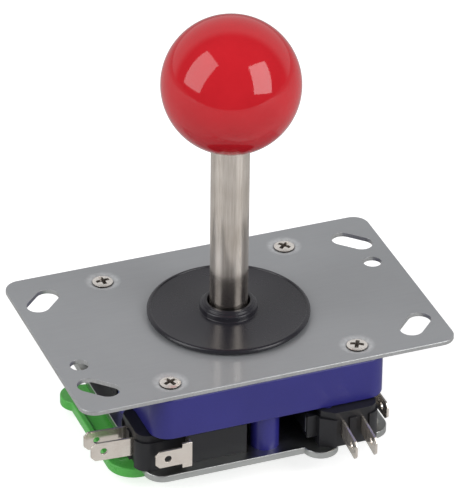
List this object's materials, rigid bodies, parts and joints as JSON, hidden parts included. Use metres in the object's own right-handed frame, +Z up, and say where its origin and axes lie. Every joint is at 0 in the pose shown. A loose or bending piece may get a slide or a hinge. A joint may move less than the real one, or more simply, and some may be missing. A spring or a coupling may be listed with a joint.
{
  "type": "arcade joystick",
  "caption": "Arcade joystick: ball-top lever on a slotted steel plate, blue body with a ball pivot, pinwheel microswitches with levers and a turning green gate underneath.",
  "frame": {"origin": "on the shaft's axis, on the top face of the fixing plate", "axes": "+Z up the shaft towards the ball; +X to the right along the plate's long side; +Y to the back"},
  "size_m": [0.1, 0.0902, 0.1146],
  "materials": {
    "ball_red": "polished phenolic, smooth gloss",
    "shaft_steel": "turned and polished steel",
    "washer_black": "satin moulded plastic",
    "guide_nylon": "plain nylon",
    "plate_zinc": "zinc-plated satin sheet",
    "screw_nickel": "nickel-plated cross-head",
    "body_blue": "indigo moulded ABS, light satin",
    "pivot_nylon": "turned nylon",
    "liner_nylon": "moulded nylon",
    "seat_nylon": "moulded nylon",
    "spring_steel": "drawn spring wire",
    "actuator_black": "moulded acetal",
    "clip_steel": "blackened spring steel",
    "base_zinc": "zinc-plated satin sheet",
    "gate_green": "green moulded plastic",
    "switch_black": "moulded phenolic",
    "cover_black": "moulded phenolic",
    "plunger_red": "moulded acetal",
    "lever_steel": "stainless strip",
    "terminal_silver": "tin-plated brass strip"
  },
  "bodies": {
    "base": {"mounting_plate": "plate_zinc", "plate_screws": "screw_nickel", "body_housing": "body_blue", "spring_seat": "seat_nylon", "bottom_plate": "base_zinc", "bottom_screws": "screw_nickel", "front_switch_case": "switch_black", "front_switch_cover": "cover_black", "front_terminal_open": "terminal_silver", "front_terminal_closed": "terminal_silver", "front_terminal_common": "terminal_silver", "right_switch_case": "switch_black", "right_switch_cover": "cover_black", "right_terminal_open": "terminal_silver", "right_terminal_closed": "terminal_silver", "right_terminal_common": "terminal_silver", "back_switch_case": "switch_black", "back_switch_cover": "cover_black", "back_terminal_open": "terminal_silver", "back_terminal_closed": "terminal_silver", "back_terminal_common": "terminal_silver", "left_switch_case": "switch_black", "left_switch_cover": "cover_black", "left_terminal_open": "terminal_silver", "left_terminal_closed": "terminal_silver", "left_terminal_common": "terminal_silver"},
    "liner": {"pivot_liner": "liner_nylon"},
    "tilting_pivot": {"pivot_ball": "pivot_nylon", "actuator": "actuator_black", "return_spring": "spring_steel"},
    "stick": {"shaft": "shaft_steel", "ball_top": "ball_red", "e_clip": "clip_steel"},
    "guide": {"guide_washer": "guide_nylon"},
    "washer": {"dust_washer": "washer_black"},
    "gate": {"restrictor_gate": "gate_green"},
    "front_lever": {"front_lever": "lever_steel"},
    "front_plunger": {"front_plunger": "plunger_red"},
    "right_lever": {"right_lever": "lever_steel"},
    "right_plunger": {"right_plunger": "plunger_red"},
    "back_lever": {"back_lever": "lever_steel"},
    "back_plunger": {"back_plunger": "plunger_red"},
    "left_lever": {"left_lever": "lever_steel"},
    "left_plunger": {"left_plunger": "plunger_red"}
  },
  "joints": [
    {"name": "tilt_x", "type": "hinge", "parent": "base", "child": "liner", "pos_m": [0, 0, -0.007], "axis": [1, 0, 0], "range_deg": [-9, 9], "stiffness_Nm_per_rad": 0.7, "deforming": ["return_spring"]},
    {"name": "tilt_y", "type": "hinge", "parent": "liner", "child": "tilting_pivot", "pos_m": [0, 0, -0.007], "axis": [0, 1, 0], "range_deg": [-9, 9], "stiffness_Nm_per_rad": 0.7, "deforming": ["return_spring"]},
    {"name": "shaft_spin", "type": "hinge", "parent": "tilting_pivot", "child": "stick", "pos_m": [0, 0, -0.007], "axis": [0, 0, 1], "continuous": true},
    {"name": "gate_turn", "type": "hinge", "parent": "base", "child": "gate", "pos_m": [0, 0, -0.01815], "axis": [0, 0, 1], "range_deg": [0, 45]},
    {"name": "guide_slide", "type": "slide", "parent": "base", "child": "guide", "axis": [1, 0, 0], "range_m": [-0.00145, 0.00145]},
    {"name": "washer_slide", "type": "slide", "parent": "guide", "child": "washer", "axis": [0, 1, 0], "range_m": [-0.00145, 0.00145]},
    {"name": "front_lever_swing", "type": "hinge", "parent": "base", "child": "front_lever", "pos_m": [-0.0285, -0.0105, -0.01815], "axis": [0, 0, 1], "range_deg": [-3.55, 3.55]},
    {"name": "front_plunger_slide", "type": "slide", "parent": "base", "child": "front_plunger", "axis": [0, 1, 0], "range_m": [-0.00066, 0.00066]},
    {"name": "right_lever_swing", "type": "hinge", "parent": "base", "child": "right_lever", "pos_m": [0.0105, -0.0285, -0.01815], "axis": [0, 0, 1], "range_deg": [-3.55, 3.55]},
    {"name": "right_plunger_slide", "type": "slide", "parent": "base", "child": "right_plunger", "axis": [-1, 0, 0], "range_m": [-0.00066, 0.00066]},
    {"name": "back_lever_swing", "type": "hinge", "parent": "base", "child": "back_lever", "pos_m": [0.0285, 0.0105, -0.01815], "axis": [0, 0, 1], "range_deg": [-3.55, 3.55]},
    {"name": "back_plunger_slide", "type": "slide", "parent": "base", "child": "back_plunger", "axis": [0, -1, 0], "range_m": [-0.00066, 0.00066]},
    {"name": "left_lever_swing", "type": "hinge", "parent": "base", "child": "left_lever", "pos_m": [-0.0105, 0.0285, -0.01815], "axis": [0, 0, 1], "range_deg": [-3.55, 3.55]},
    {"name": "left_plunger_slide", "type": "slide", "parent": "base", "child": "left_plunger", "axis": [1, 0, 0], "range_m": [-0.00066, 0.00066]}
  ],
  "couplings": [
    {"joint": "guide_slide", "follows": "tilt_y", "m_per_rad": 0.00907},
    {"joint": "washer_slide", "follows": "tilt_x", "m_per_rad": -0.00907},
    {"joint": "front_lever_swing", "follows": "tilt_x", "ratio": 0.3912},
    {"joint": "front_plunger_slide", "follows": "tilt_x", "m_per_rad": 0.004108},
    {"joint": "right_lever_swing", "follows": "tilt_y", "ratio": 0.3912},
    {"joint": "right_plunger_slide", "follows": "tilt_y", "m_per_rad": 0.004108},
    {"joint": "back_lever_swing", "follows": "tilt_x", "ratio": -0.3912},
    {"joint": "back_plunger_slide", "follows": "tilt_x", "m_per_rad": -0.004108},
    {"joint": "left_lever_swing", "follows": "tilt_y", "ratio": -0.3912},
    {"joint": "left_plunger_slide", "follows": "tilt_y", "m_per_rad": -0.004108}
  ]
}
